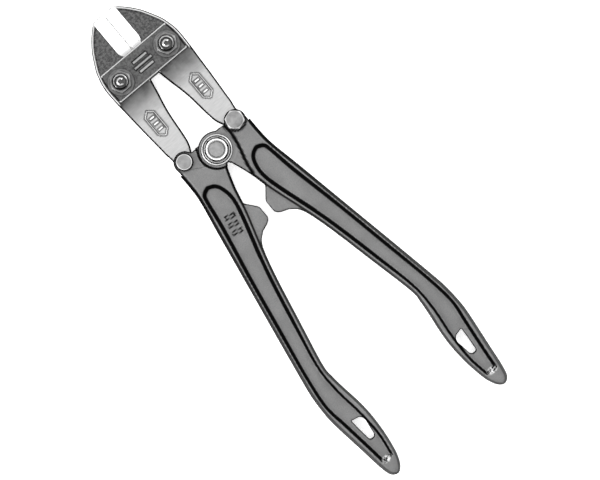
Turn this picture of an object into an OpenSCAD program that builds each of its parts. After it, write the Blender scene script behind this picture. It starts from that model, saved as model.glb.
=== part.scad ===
// Bolt cutters: two forged handles on a centre bolt, two cutting jaws joined by link plates.
// The tool lies flat: +Y points to the jaws, +X to the right, +Z up; z = 0 is the resting plane.
// The point halfway along the length, under the centre line, is the origin.

/* [Overall] */
// length from the handle ends to the jaw tips
overall_length = 350; // [320:5:400]
// centre bolt to the jaw tips
head_length = 114.7; // [108:0.5:124]
// outside width across both grips, tool closed
grip_spread = 114; // [104:1:124]

/* [Linkage] */
// centre bolt to the head bolts, along the tool
head_bolt_height = 72.9; // [70:0.1:76]
// distance between the two head bolts
head_bolt_spacing = 38.4; // [36:0.2:41]
// centre bolt to the fork pins, along the tool
fork_pin_height = 7.2; // [6:0.1:8.4]
// distance between the two fork pins
fork_pin_spacing = 42.4; // [41:0.2:45]

/* [Jaws] */
// thickness of a jaw
jaw_thickness = 8; // [6:0.2:9]
// widest part of the two jaws together
jaw_spread = 61.5; // [57:0.5:65]
// width of the flat tip of the two jaws together
tip_width = 16.6; // [12:0.2:20]
// width of the ground bevel on each jaw
bevel_width = 9.2; // [7:0.1:11]
// gap between the two cutting edges when closed
edge_gap = 0.24; // [0.1:0.02:0.4]
// width of a jaw tail halfway down
tail_width = 21.4; // [19:0.2:23]

/* [Link plates] */
// size of a plate along the tool
plate_height = 21.6; // [20:0.2:24]
// size of a plate across the tool
plate_width = 56.4; // [54:0.2:58]
// thickness of a plate
plate_thickness = 3.2; // [2.6:0.1:4]

/* [Handles] */
// thickness of a handle forging
handle_thickness = 16; // [15:0.2:19]
// radius of the fork at the top of a handle
fork_radius = 8.3; // [7.8:0.1:8.6]
// radius of the pivot eye at the centre bolt
eye_radius = 12.4; // [11.4:0.1:12.6]
// width of a handle at its narrowest
shank_width = 17.4; // [16:0.2:20]
// width of a handle at the grip
grip_width = 22.6; // [20:0.2:25]
// width of the rim that runs round the channel
rim_width = 3.9; // [3:0.1:4.6]
// depth of the channel in each face
channel_depth = 4.5; // [3:0.1:5]
// gap between the two stop lugs when closed
stop_gap = 5.3; // [4:0.1:7]
// length of the hole for hanging the tool
hang_hole_length = 17.5; // [14:0.5:20]
// width of that hole at its wide end
hang_hole_width = 7; // [6:0.1:8]

/* [Fasteners] */
// diameter of the centre bolt
centre_bolt_d = 10; // [9:0.1:11]
// diameter of the head bolts
head_bolt_d = 10; // [9:0.1:10.4]
// diameter of the fork pins
fork_pin_d = 7; // [6:0.1:8]
// distance across the flats of the centre nut
centre_nut_flats = 14.2; // [14:0.1:16]
// distance across the flats of the head nuts
head_nut_flats = 13; // [12:0.1:14]
// distance across the flats of the fork pin heads
pin_head_flats = 11.4; // [10.4:0.1:12]
// outside diameter of the centre washers
centre_washer_d = 20.6; // [18:0.2:22]
// outside diameter of the head washers
head_washer_d = 17.8; // [16:0.2:18.4]

/* [Hidden] */
$fn = 96;
// play round a pin, on the radius
run_gap = 0.05;
// each eye stands this far from the middle plane
lap_gap = 0.1;
// play beside a jaw tail in its fork
slot_gap = 0.2;
// play between a jaw and a link plate
plate_gap = 0.1;
// thickness of the centre washers and of the head washers
washer_t = 1.4;
head_washer_t = 1.2;
// height of the centre nut and of the head nuts
nut_h = 5.6;
// height of a fork pin's head
pin_head_h = 4;
// how far a bolt end stands out of its nut
bolt_stand = 0.6;
// middle plane above the resting plane
rest_depth = 12.5;
// thickness of a pivot eye
eye_t = 5.5;
// height of the raised marks
mark_h = 0.4;
// how deep a raised mark is rooted in its face
mark_root = 0.5;
// the stop lugs are this much thicker than the web, on each face
lug_lift = 1.2;
// half the thickness left at a cutting edge
edge_half = 0.25;
// the open end of the linkage: extra room round the right head bolt
free_room = 1.45;
free_shift = 1.05;
// swing of a jaw tail in its fork
tail_swing = 50;
// longer than any piece that it cuts
cut_all = 60;

pivot_y = overall_length / 2 - head_length;
handle_length = overall_length - head_length;
jaw_half = jaw_thickness / 2;
plate_top = jaw_half + plate_gap + plate_thickness;
eye_top = lap_gap + eye_t;
handle_half = handle_thickness / 2;
head_x = head_bolt_spacing / 2;
pin_x = fork_pin_spacing / 2;
// round end of a jaw tail, and the slot that takes it
tail_end_r = fork_radius;
slot_r = tail_end_r + 0.4;
// room that each handle leaves for the other's eye
eye_room = eye_radius + 0.5;
grip_x = grip_spread / 2;
jaw_x = jaw_spread / 2;
plate_y = head_bolt_height + 0.7;
// channel floor above the middle plane
pocket_floor = handle_half - channel_depth;

// smooth curve through a row of points, each span a cubic cut into equal steps
function blend(p, q, r, s, t) =
    0.5 * ((2 * q) + (r - p) * t + (2 * p - 5 * q + 4 * r - s) * t * t
        + (3 * q - p - 3 * r + s) * t * t * t);
function through(pts, steps = 4) = let (n = len(pts)) concat(
    [for (i = [0:n - 2], j = [0:steps - 1])
        blend(pts[max(i - 1, 0)], pts[i], pts[i + 1], pts[min(i + 2, n - 1)], j / steps)],
    [pts[n - 1]]);
// points along a circle, from angle a0 to a1
function arc(c, r, a0, a1, n) =
    [for (i = [0:n]) let (a = a0 + (a1 - a0) * i / n) [c[0] + r * cos(a), c[1] + r * sin(a)]];
// a curve without its last point, so that the next one can start there
function but_last(pts) = [for (i = [0:len(pts) - 2]) pts[i]];

// height on a handle, from the centre bolt (0) to the handle end (1)
// the top part keeps its length; the rest stretches with the tool
top_share = 0.32;
top_part = 75.3;
function down(f) = f < top_share ? -f * top_part / top_share
    : -top_part - (f - top_share) / (1 - top_share) * (handle_length - top_part);
// place across the tool, from the outside of the fork (0) to the widest part of the grip (1)
function across(f) = pin_x + fork_radius + f * (grip_x - pin_x - fork_radius);

// outer edge of the right handle from its top to its end, and inner edge back up
outer_edge = through([
    [pin_x + fork_radius, fork_pin_height], [pin_x + fork_radius - 0.2, down(0.03)],
    [pin_x + 9.1, down(0.085)], [across(0.171), down(0.17)], [across(0.44), down(0.34)],
    [across(0.71), down(0.51)], [across(0.907), down(0.637)], [across(0.967), down(0.68)],
    [across(0.996), down(0.722)], [grip_x, down(0.765)], [across(0.965), down(0.807)],
    [across(0.918), down(0.85)], [across(0.871), down(0.892)], [across(0.803), down(0.955)],
    [across(0.722), down(0.989)], [across(0.554), down(1)]]);
inner_edge = through([
    [across(0.554), down(1)], [across(0.399), down(0.986)], [grip_x - grip_width + 3, down(0.957)],
    [grip_x - grip_width + 1.2, down(0.92)], [grip_x - grip_width, down(0.88)],
    [grip_x - grip_width - 0.6, down(0.83)], [grip_x - grip_width, down(0.78)],
    [grip_x - grip_width + 1.8, down(0.722)], [grip_x - grip_width + 2.8, down(0.68)],
    [across(0.907) - shank_width, down(0.637)],
    [across(0.71) - shank_width - 1, down(0.51)], [across(0.44) - shank_width - 2.6, down(0.34)],
    [across(0.171) - shank_width - 5.9, down(0.19)], [8.4, down(0.145)], [6.7, down(0.115)],
    [4.5, down(0.085)], [2, down(0.056)], [1.1, down(0.05)]], 3);

// the handle seen from the front, without the eye and the stop lug
module handle_outline() {
    polygon(concat([[13.1, 10], [pin_x - 7, fork_pin_height + 4]],
        arc([pin_x, fork_pin_height], fork_radius, 140, 6, 16),
        but_last(outer_edge), inner_edge, [[0.9, -6], [7.4, 0], [9.8, 6], [9.8, 10]]));
}

// stop lug between the handles
module lug_outline() {
    x0 = stop_gap / 2;
    polygon([[x0, down(0.195)], [x0 + 1, down(0.188)], [x0 + 6, down(0.162)], [14, down(0.16)],
        [24, down(0.3)], [20, down(0.302)], [18.6, down(0.287)], [15, down(0.266)],
        [11, down(0.252)], [6, down(0.244)], [x0 + 1.2, down(0.238)], [x0, down(0.23)]]);
}

// channel sunk in each face, an arch at the top and a narrow square end
module channel_outline() {
    r = rim_width;
    top = down(0.064);
    outer_line = through([[pin_x - 0.6, top], [pin_x + 3.6, top - 2.1], [pin_x + 5.4, top - 7],
        [across(0.171) - r - 0.4, down(0.18)], [across(0.44) - r, down(0.34)],
        [across(0.71) - r, down(0.51)], [across(0.907) - r, down(0.637)],
        [grip_x - r, down(0.73)], [across(0.969) - r - 1, down(0.80)],
        [across(0.876) - r - 1, down(0.89)], [across(0.803) - r - 0.4, down(0.946)]], 3);
    inner_line = through([[grip_x - grip_width + 5.8, down(0.946)],
        [grip_x - grip_width + 3.6, down(0.88)], [grip_x - grip_width + 4.2, down(0.80)],
        [grip_x - grip_width + 2.4 + r, down(0.72)],
        [across(0.907) - shank_width + r - 0.4, down(0.637)],
        [across(0.71) - shank_width - 1 + r, down(0.51)],
        [across(0.44) - shank_width - 2.6 + r, down(0.34)],
        [across(0.171) - shank_width - 5.5 + r, down(0.19)],
        [pin_x - 8.8, down(0.13)], [pin_x - 7.6, top - 6.5], [pin_x - 4.8, top - 2],
        [pin_x - 0.6, top]], 3);
    polygon(concat(outer_line, but_last(inner_line)));
}

// slanted hole near the end, wider at the top
module hang_hole() {
    w = hang_hole_width / 2;
    h = hang_hole_length / 2;
    translate([across(0.48), down(0.805) - h]) linear_extrude(cut_all, center = true)
        polygon([[w + 0.2, h - 0.8], [w - 0.2, h - 0.4], [-w + 1.8, h - 1.5], [-w + 0.3, h - 3.1],
            [-w - 0.3, h - 5.5], [-w + 0.4, -1.4], [-w + 1.2, -h + 1.5], [-w + 2.4, -h + 0.1],
            [w - 2.1, -h], [w - 1.2, -h + 0.9], [w - 0.4, -0.4]]);
}

// room for the jaw tail, all the way round its swing
module fork_slot() {
    far = 40;
    side = 90 - tail_swing;
    linear_extrude(jaw_thickness + 2 * slot_gap, center = true)
        translate([pin_x, fork_pin_height])
            polygon(concat(
                [[-slot_r - 2, far], [-slot_r - 1.8, 1.6], [-slot_r, 1.2]],
                arc([0, 0], slot_r, 180, 270 + side, 30),
                [[slot_r * sin(side) + far * cos(side), far * sin(side) - slot_r * cos(side)],
                    [far, far]]));
}

// small raised bars that fill the marking place on the channel floor
module floor_marks() {
    for (i = [0, 1, 2])
        translate([pin_x + 0.2 + i * 1.2, down(0.163) - i * 5.2, pocket_floor - mark_root])
            rotate([0, 0, 14]) translate([-3, -0.9, 0]) cube([6, 1.8, mark_h + mark_root]);
}

// the forging in its right-hand place; turned over it is the left handle
module forging() {
    difference() {
        union() {
            difference() {
                linear_extrude(handle_thickness, center = true) handle_outline();
                cylinder(h = cut_all, r = eye_room, center = true);
            }
            translate([0, 0, lap_gap]) linear_extrude(eye_t) difference() {
                union() {
                    circle(r = eye_radius);
                    polygon([[6.5, 10], [13.1, 10], [15, 5], [14.4, -8], [10.5, -16],
                        [3.2, -14.2], [2, -13], [1, -6]]);
                }
                polygon([[0.1, 2 - eye_radius], [1.5, -0.2 - eye_radius], [0, -15], [-6, -15],
                    [-2.2, -0.2 - eye_radius]]);
            }
            linear_extrude(2 * (pocket_floor + lug_lift), center = true) lug_outline();
        }
        // face stepped down beside the front eye
        translate([0, 0, eye_top]) linear_extrude(handle_half)
            polygon([[12.9, 14], [13.6, 6], [13.7, 3], [13.1, -3], [11.6, -10], [9.6, -16],
                [8.2, -21.4], [7.6, -26.4], [0, -26.4], [-20, -20], [-20, 14]]);
        translate([0, 0, pocket_floor]) linear_extrude(handle_half) channel_outline();
        translate([0, 0, -handle_half - pocket_floor]) linear_extrude(handle_half) channel_outline();
        fork_slot();
        hang_hole();
        cylinder(h = cut_all, d = centre_bolt_d + 2 * run_gap, center = true);
        translate([pin_x, fork_pin_height, 0])
            cylinder(h = cut_all, d = fork_pin_d + 2 * run_gap, center = true);
    }
    mirror([0, 0, 1]) floor_marks();
}

module handle_right() {
    color([0.5, 0.5, 0.5]) place() forging();
}

module handle_left() {
    color([0.5, 0.5, 0.5]) place() rotate([0, 180, 0]) forging();
}

// outline of the right jaw, cutting edge on the centre line
module jaw_outline() {
    h = head_length;
    b = head_bolt_height;
    tail_x = pin_x - 1.9;
    difference() {
        polygon(concat(
            [[edge_gap / 2, h]],
            through([[tip_width / 2, h], [jaw_x * 0.457, h - 5.3], [jaw_x * 0.6, h - 10.3],
                [jaw_x * 0.715, h - 15.3], [jaw_x * 0.888, h - 25.3], [jaw_x * 0.943, h - 30.3],
                [jaw_x * 0.982, h - 35.3], [jaw_x, b + 1], [jaw_x * 0.993, b - 9],
                [jaw_x * 0.973, b - 19], [jaw_x * 0.945, b * 0.54], [tail_x + 8.6, b * 0.33],
                [tail_x + 8.3, b * 0.26], [pin_x + tail_end_r - 1.8, fork_pin_height + 5.4],
                [pin_x + tail_end_r - 0.2, fork_pin_height + 1.6], [pin_x + tail_end_r, fork_pin_height]]),
            [[pin_x, fork_pin_height], [pin_x - tail_end_r, fork_pin_height]],
            through([[pin_x - tail_end_r - 0.1, fork_pin_height + 2], [pin_x - 10, b * 0.2],
                [pin_x - 11.3, b * 0.3], [jaw_x * 0.955 - tail_width, b * 0.54],
                [jaw_x * 0.973 - tail_width - 3.6, b - 19], [jaw_x * 0.98 - tail_width - 5.2, b - 12],
                [2.6, b - 8], [1.2, b - 2], [edge_gap / 2, b + 7]])));
        translate([head_x - 100, b - 0.1]) square([100 - head_x + edge_gap / 2, 60]);
    }
    translate([pin_x, fork_pin_height]) circle(r = tail_end_r);
}

// material ground away above and below the cutting edge
module bevel_cut(w) {
    rotate([90, 0, 180]) mirror([1, 0, 0])
        linear_extrude(head_length - head_bolt_height + 1)
            polygon([[-1, edge_half], [edge_gap / 2, edge_half], [w, jaw_half],
                [w, jaw_half + 1], [-1, jaw_half + 1]]);
}

// six-sided shape, pointed at both ends
module lozenge(w, l) {
    polygon([[-w / 2, -l / 2 + 3], [0, -l / 2], [w / 2, -l / 2 + 3],
        [w / 2, l / 2 - 3], [0, l / 2], [-w / 2, l / 2 - 3]]);
}

// raised panel with three bars on the tail
module tail_panel() {
    translate([head_x - 0.3, head_bolt_height * 0.525, jaw_half - mark_root]) {
        linear_extrude(mark_root + mark_h) difference() {
            lozenge(8, 20.5);
            lozenge(6.6, 18.6);
        }
        for (i = [-1, 0, 1])
            translate([-2, i * 4.4 - 0.8, 0]) cube([4, 1.6, mark_root + mark_h]);
    }
}

// a jaw with its head bolt bore at bore_x
module jaw_body(bore_x, bore_r) {
    difference() {
        linear_extrude(jaw_thickness, center = true) jaw_outline();
        translate([0, head_bolt_height + 6, 0]) {
            bevel_cut(bevel_width);
            mirror([0, 0, 1]) bevel_cut(bevel_width);
        }
        translate([bore_x, head_bolt_height, 0])
            cylinder(h = cut_all, r = bore_r, center = true);
        translate([pin_x, fork_pin_height, 0])
            cylinder(h = cut_all, d = fork_pin_d + 2 * run_gap, center = true);
    }
    tail_panel();
}

// its bore is opened out: the linkage turns freely here
module jaw_right() {
    color([0.36, 0.36, 0.36]) place()
        jaw_body(head_x - free_shift, head_bolt_d / 2 + free_room);
}

module jaw_left() {
    color([0.36, 0.36, 0.36]) place() mirror([1, 0, 0])
        jaw_body(head_x, head_bolt_d / 2 + run_gap);
}

// stamped plate with its two bolt holes
module plate_blank() {
    w = plate_width / 2;
    h = plate_height / 2;
    difference() {
        linear_extrude(plate_thickness)
            polygon([[-w + 0.6, -h], [w - 0.6, -h], [w, -h + 0.8], [w + 0.3, 0], [w - 0.4, h - 3],
                [w - 1.6, h], [-w + 1.6, h], [-w + 0.4, h - 3], [-w - 0.3, 0], [-w, -h + 0.8]]);
        for (s = [-1, 1])
            translate([s * head_x, head_bolt_height - plate_y, -1])
                cylinder(h = plate_thickness + 2, d = head_bolt_d + 2 * run_gap);
    }
}

module link_plate_front() {
    color([0.4, 0.4, 0.4]) place() translate([0, plate_y, jaw_half + plate_gap]) {
        plate_blank();
        for (i = [-1, 0, 1])
            translate([-7 + abs(i) * 1.5, i * 3.6 - 0.9, plate_thickness - mark_root])
                cube([14 - abs(i) * 3, 1.8, mark_root + mark_h]);
    }
}

module link_plate_back() {
    color([0.4, 0.4, 0.4]) place()
        translate([0, plate_y, -jaw_half - plate_gap - plate_thickness]) plate_blank();
}

// six-sided block with both ends of its corners turned off
module hex_block(flats, h) {
    corner = flats / sqrt(3);
    r = corner + 0.01;
    turned = 0.9;
    intersection() {
        cylinder(h = h, r = corner, $fn = 6);
        rotate_extrude()
            polygon([[0, 0], [flats / 2, 0], [r, turned], [r, h - turned], [flats / 2, h], [0, h]]);
    }
}

module hex_nut(flats, h, bore) {
    difference() {
        hex_block(flats, h);
        translate([0, 0, -1]) cylinder(h = h + 2, d = bore);
    }
}

// bolt: head under, six-sided or round, shank up, chamfered end with a centre dimple
module bolt(flats, head_h, d, shank, dimple, round_head = false) {
    if (round_head)
        rotate_extrude() polygon([[0, 0], [flats / 2 - 0.6, 0], [flats / 2 + 0.2, 1.4],
            [flats / 2 + 0.2, head_h], [0, head_h]]);
    else
        hex_block(flats, head_h);
    difference() {
        translate([0, 0, head_h]) rotate_extrude()
            polygon([[0, 0], [d / 2, 0], [d / 2, shank - 0.7], [d / 2 - 0.7, shank], [0, shank]]);
        translate([0, 0, head_h + shank - dimple]) cylinder(h = dimple + 1, r1 = d * 0.12, r2 = d * 0.36);
    }
}

module flat_washer(outer, bore, t) {
    difference() {
        cylinder(h = t, d = outer);
        translate([0, 0, -1]) cylinder(h = t + 2, d = bore);
    }
}

module head_bolt(side) {
    head_h = rest_depth - plate_top;
    shank = 2 * plate_top + head_washer_t + nut_h + bolt_stand;
    color([0.3, 0.3, 0.3]) place() translate([side * head_x, head_bolt_height, -rest_depth])
        bolt(head_nut_flats, head_h, head_bolt_d, shank, 1.6);
}

module head_washer(side) {
    color([0.42, 0.42, 0.42]) place() translate([side * head_x, head_bolt_height, plate_top])
        flat_washer(head_washer_d, head_bolt_d + 2 * run_gap, head_washer_t);
}

module head_nut(side) {
    color([0.38, 0.38, 0.38]) place()
        translate([side * head_x, head_bolt_height, plate_top + head_washer_t]) rotate([0, 0, 30])
            hex_nut(head_nut_flats, nut_h, head_bolt_d + 2 * run_gap);
}

module head_bolt_left() {
    head_bolt(-1);
}

module head_bolt_right() {
    head_bolt(1);
}

module head_washer_left() {
    head_washer(-1);
}

module head_washer_right() {
    head_washer(1);
}

module head_nut_left() {
    head_nut(-1);
}

module head_nut_right() {
    head_nut(1);
}

module centre_bolt() {
    head_h = rest_depth - eye_top - washer_t;
    color([0.62, 0.62, 0.62]) place() translate([0, 0, -rest_depth])
        bolt(centre_nut_flats, head_h, centre_bolt_d, 2 * (eye_top + washer_t) + nut_h + bolt_stand, 0.8);
}

module centre_nut() {
    color([0.7, 0.7, 0.7]) place() translate([0, 0, eye_top + washer_t]) rotate([0, 0, 10])
        hex_nut(centre_nut_flats, nut_h, centre_bolt_d + 2 * run_gap);
}

module centre_washer_front() {
    color([0.6, 0.6, 0.6]) place() translate([0, 0, eye_top])
        flat_washer(centre_washer_d, centre_bolt_d + 2 * run_gap, washer_t);
}

module centre_washer_back() {
    color([0.6, 0.6, 0.6]) place() translate([0, 0, -eye_top - washer_t])
        flat_washer(centre_washer_d, centre_bolt_d + 2 * run_gap, washer_t);
}

// thin bearing ring between the two eyes
module centre_shim() {
    color([0.75, 0.6, 0.35]) place() translate([0, 0, -lap_gap])
        flat_washer(centre_washer_d, centre_bolt_d + 2 * run_gap, 2 * lap_gap - 0.02);
}

// pin with its head on the front cheek and a nut behind the back cheek; the left head is round
module fork_pin(side) {
    shank = handle_half + rest_depth - 0.4;
    color([0.66, 0.66, 0.66]) place()
        translate([side * pin_x, fork_pin_height, handle_half + pin_head_h]) mirror([0, 0, 1])
            bolt(pin_head_flats, pin_head_h, fork_pin_d, shank, 0.8, side < 0);
}

module fork_nut(side) {
    color([0.6, 0.6, 0.6]) place() translate([side * pin_x, fork_pin_height, -rest_depth])
        hex_nut(pin_head_flats, rest_depth - handle_half, fork_pin_d + 2 * run_gap);
}

module fork_pin_left() {
    fork_pin(-1);
}

module fork_pin_right() {
    fork_pin(1);
}

module fork_nut_left() {
    fork_nut(-1);
}

module fork_nut_right() {
    fork_nut(1);
}

// moves a piece drawn round the centre bolt to its place above the resting plane
module place() {
    translate([0, pivot_y, rest_depth]) children();
}

handle_left();
handle_right();
jaw_left();
jaw_right();
link_plate_front();
link_plate_back();
head_bolt_left();
head_bolt_right();
head_washer_left();
head_washer_right();
head_nut_left();
head_nut_right();
centre_bolt();
centre_nut();
centre_washer_front();
centre_washer_back();
centre_shim();
fork_pin_left();
fork_pin_right();
fork_nut_left();
fork_nut_right();
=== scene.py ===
# Bolt cutters: the looks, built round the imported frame.
import math
import bpy
import numpy as np
from mathutils import Matrix, Vector


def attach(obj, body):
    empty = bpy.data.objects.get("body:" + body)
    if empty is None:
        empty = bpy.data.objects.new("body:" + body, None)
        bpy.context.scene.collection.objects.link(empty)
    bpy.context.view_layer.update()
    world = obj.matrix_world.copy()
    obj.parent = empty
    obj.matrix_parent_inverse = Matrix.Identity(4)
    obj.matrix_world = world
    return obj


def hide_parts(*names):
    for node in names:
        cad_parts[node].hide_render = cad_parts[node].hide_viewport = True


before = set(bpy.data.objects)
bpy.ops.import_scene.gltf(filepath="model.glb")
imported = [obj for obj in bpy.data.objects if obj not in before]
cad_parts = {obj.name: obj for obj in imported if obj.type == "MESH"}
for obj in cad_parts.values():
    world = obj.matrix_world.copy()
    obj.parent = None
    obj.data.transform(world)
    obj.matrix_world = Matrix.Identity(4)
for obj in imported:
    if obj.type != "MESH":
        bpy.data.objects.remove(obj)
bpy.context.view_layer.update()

# sizes are in millimetres from the main pivot, for the right-hand side; makePiece moves them into the frame
tool = {
    "pivotY": 60.3,  # the main pivot in the frame
    "midZ": 12.5,
    "pin": (21.2, 7.2),  # fork pin
    "headBolt": (19.2, 72.9),
    "jawTip": 114.7,
    "handleEnd": 235.3,
}


def through(points, steps=6):
    # Catmull-Rom curve through the points: each span is a cubic that takes its slopes from the neighbours
    p = np.asarray(points, float)
    q = np.vstack([p[:1], p, p[-1:]])
    t = (np.arange(steps) / steps)[None, :, None]
    a, b, c, d = (q[i:i + len(p) - 1, None, :] for i in range(4))
    bend = (2 * a - 5 * b + 4 * c - d) * t ** 2 + (3 * b - a - 3 * c + d) * t ** 3
    curve = 0.5 * (2 * b + (c - a) * t + bend)
    return np.vstack([curve.reshape(-1, 2), p[-1:]])


def arc(centre, radius, start, end, count):
    # centre plus the radius times (cosine, sine) of evenly spaced angles, in degrees
    a = np.radians(np.linspace(start, end, count))
    return np.stack([centre[0] + radius * np.cos(a), centre[1] + radius * np.sin(a)], 1)


def outlineDistance(points, x, y):
    # distance to the nearest side of the polygon, minus inside it: the foot on each side is clamped to its ends,
    # and a point is inside where a ray crosses the sides an odd number of times
    a = np.asarray(points, np.float32)
    b = np.roll(a, -1, 0)
    flat = np.stack([np.ravel(x), np.ravel(y)], 1).astype(np.float32)
    parts = []
    for p in np.array_split(flat, 12):
        side = (b - a)[:, None, :]
        off = p[None] - a[:, None, :]
        along = np.clip((off * side).sum(2) / np.maximum((side ** 2).sum(2), 1e-9), 0, 1)
        gap = np.sqrt(((off - side * along[..., None]) ** 2).sum(2)).min(0)
        above = (a[:, None, 1] > p[None, :, 1]) != (b[:, None, 1] > p[None, :, 1])
        dy = np.where(side[..., 1] == 0, 1e-9, side[..., 1])
        hit = above & (p[None, :, 0] < a[:, None, 0] + side[..., 0] * off[..., 1] / dy)
        parts.append(np.where(hit.sum(0) % 2 == 1, -gap, gap))
    return np.concatenate(parts).reshape(np.shape(x))


def peak(value, level, centre, width):
    # level less the distance from the centre in widths, held between 0 and 1: a soft line or spot
    return np.clip(level - np.abs(value - centre) / width, 0, 1)


def ramp(value, width):
    # smooth step from 0 to 1, centred on value 0
    t = np.clip(value / width + 0.5, 0, 1)
    return t * t * (3 - 2 * t)


def slope(value, width):
    # straight ramp from 0 to 1, its two corners a little eased
    t = value / width + 0.5
    return np.clip(t, 0, 1) * 0.8 + ramp(value, width) * 0.2


def roundedPlate(edge, z, half, radius):
    # slab of the outline's shape, its rims rounded: length of the two excesses beyond the core, less the radius
    u, v = edge + radius, np.abs(z) - half + radius
    return np.minimum(np.maximum(u, v), 0) + np.hypot(np.maximum(u, 0), np.maximum(v, 0)) - radius


def blended(a, b, k):
    # the two solids together, with a fillet of about k where they meet
    h = np.clip(0.5 + 0.5 * (b - a) / k, 0, 1)
    return b * (1 - h) + a * h - k * h * (1 - h)


def without(a, b, k):
    # the first solid less the second: the opposite of (everything but the first) blended with the second
    return -blended(-a, b, k)


def gridOver(low, high, step):
    # flat grid of x and y, and the row of heights that goes with it
    x, y = np.meshgrid(np.arange(low[0], high[0], step), np.arange(low[1], high[1], step), indexing="ij")
    return x, y, np.arange(low[2], high[2], step)[None, None, :]


def levelSkin(field, low, step):
    # closed skin where the field passes zero: each grid cell that it crosses gets one point, at the mean of the
    # crossings on the cell's edges, and each grid edge that it crosses gets one four-sided face
    inside = field < 0
    n = np.array(field.shape) - 1
    corners = [(i, j, k) for i in (0, 1) for j in (0, 1) for k in (0, 1)]
    cell = lambda a, c: a[c[0]:c[0] + n[0], c[1]:c[1] + n[1], c[2]:c[2] + n[2]]
    count = sum(cell(inside, c).astype(np.int8) for c in corners)
    live = (count > 0) & (count < 8)
    name = np.full(live.shape, -1, np.int64)
    name[live] = np.arange(live.sum())
    value = {c: cell(field, c)[live].astype(float) for c in corners}
    total, number = np.zeros((live.sum(), 3)), np.zeros(live.sum())
    for c in corners:
        for axis in range(3):
            if c[axis]:
                continue
            d = tuple(1 if i == axis else c[i] for i in range(3))
            crossed = (value[c] < 0) != (value[d] < 0)
            part = np.where(crossed, value[c] / np.where(crossed, value[c] - value[d], 1), 0)
            total += crossed[:, None] * (np.array(c, float) + part[:, None] * np.eye(3)[axis])
            number += crossed
    points = (np.argwhere(live) + total / number[:, None]) * step + np.asarray(low)
    faces = []
    for axis in range(3):
        order = (axis, (axis + 1) % 3, (axis + 2) % 3)
        s, m = np.transpose(inside, order), np.transpose(name, order)
        a, b, c, d = m[:, :-1, :-1], m[:, 1:, :-1], m[:, 1:, 1:], m[:, :-1, 1:]
        before, after = s[:-1, 1:-1, 1:-1], s[1:, 1:-1, 1:-1]
        out, back = before & ~after, after & ~before
        faces.append(np.stack([q[out] for q in (a, b, c, d)], 1))
        faces.append(np.stack([q[back] for q in (a, d, c, b)], 1))
    return points, np.vstack(faces)


def sampled(field, low, step, points):
    # value between the grid's numbers: the eight around each point, weighted by nearness
    g = np.clip((points - low) / step, 0, np.array(field.shape) - 1.001)
    i = g.astype(int)
    f = g - i
    value = 0
    for a in (0, 1):
        for b in (0, 1):
            for c in (0, 1):
                w = abs(1 - a - f[:, 0]) * abs(1 - b - f[:, 1]) * abs(1 - c - f[:, 2])
                value = value + w * field[i[:, 0] + a, i[:, 1] + b, i[:, 2] + c]
    return value


def relaxed(points, faces, amount):
    # each point moves part of the way to the mean of its neighbours
    total, number = np.zeros_like(points), np.zeros(len(points))
    for i, j in ((0, 1), (1, 2), (2, 3), (3, 0), (1, 0), (2, 1), (3, 2), (0, 3)):
        np.add.at(total, faces[:, i], points[faces[:, j]])
        np.add.at(number, faces[:, i], 1)
    return points + amount * (total / number[:, None] - points)


def settled(points, faces, field, low, step, rounds):
    # each point moves towards the mean of its neighbours, then back along the field's slope to where it is zero
    p = points
    for _ in range(rounds):
        p = relaxed(p, faces, 0.6)
        for _ in range(2):
            value = sampled(field, low, step, p)
            lean = np.stack([sampled(field, low, step, p + d) - sampled(field, low, step, p - d)
                             for d in np.eye(3) * step * 0.5], 1) / step
            move = value[:, None] * lean / np.maximum((lean ** 2).sum(1, keepdims=True), 0.2)
            p = p - np.clip(move, -0.25, 0.25)
    return p


def upward(points, faces):
    # how level the surface lies at each point, 0 to 1: the mean of the surrounding faces' normals, by area
    a, b, c, d = (points[faces[:, i]] for i in range(4))
    normal = np.cross(c - a, d - b)
    total = np.zeros_like(points)
    for i in range(4):
        np.add.at(total, faces[:, i], normal)
    return np.abs(total[:, 2] / np.maximum(np.linalg.norm(total, axis=1), 1e-9))


def turnedOver(points):
    # half a turn about the tool's long axis
    return points * np.array([-1.0, 1.0, -1.0])


def makePiece(name, points, faces, material, body, node, marks=None, sharp=None):
    # marks are numbers on the points, or on the faces, that the material reads
    mesh = bpy.data.meshes.new(name)
    place = (np.asarray(points) + np.array([0, tool["pivotY"], tool["midZ"]])) * 0.001
    mesh.from_pydata(place.tolist(), [], faces if isinstance(faces, list) else faces.tolist())
    mesh.update()
    domain = "POINT"
    if marks is None:
        # painted shade on steep faces, and a painted highlight on bevels that lean a little
        domain = "FACE"
        normal = np.empty(3 * len(mesh.polygons), np.float32)
        mesh.polygons.foreach_get("normal", normal)
        up = np.abs(normal[2::3])
        steep = np.clip((0.78 - up) / 0.2, 0, 1) * np.where(up < 0.1, 0.7, 1)
        marks = {"wall": steep, "rim": (up > 0.8) & (up < 0.96)}
    for key, values in marks.items():
        layer = mesh.attributes.new(key, "FLOAT", domain)
        layer.data.foreach_set("value", np.asarray(values, np.float32))
    mesh.polygons.foreach_set("use_smooth", np.ones(len(mesh.polygons), bool))
    if sharp:
        mesh.set_sharp_from_angle(angle=math.radians(sharp))
    piece = bpy.data.objects.new(name, mesh)
    bpy.context.collection.objects.link(piece)
    mesh.materials.append(material)
    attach(piece, body)
    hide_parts(node)
    return piece


def linear(code):
    # sRGB hex to linear
    c = np.array([int(code[i:i + 2], 16) for i in (1, 3, 5)]) / 255
    return (*np.where(c <= 0.04045, c / 12.92, ((c + 0.055) / 1.055) ** 2.4), 1.0)


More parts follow.
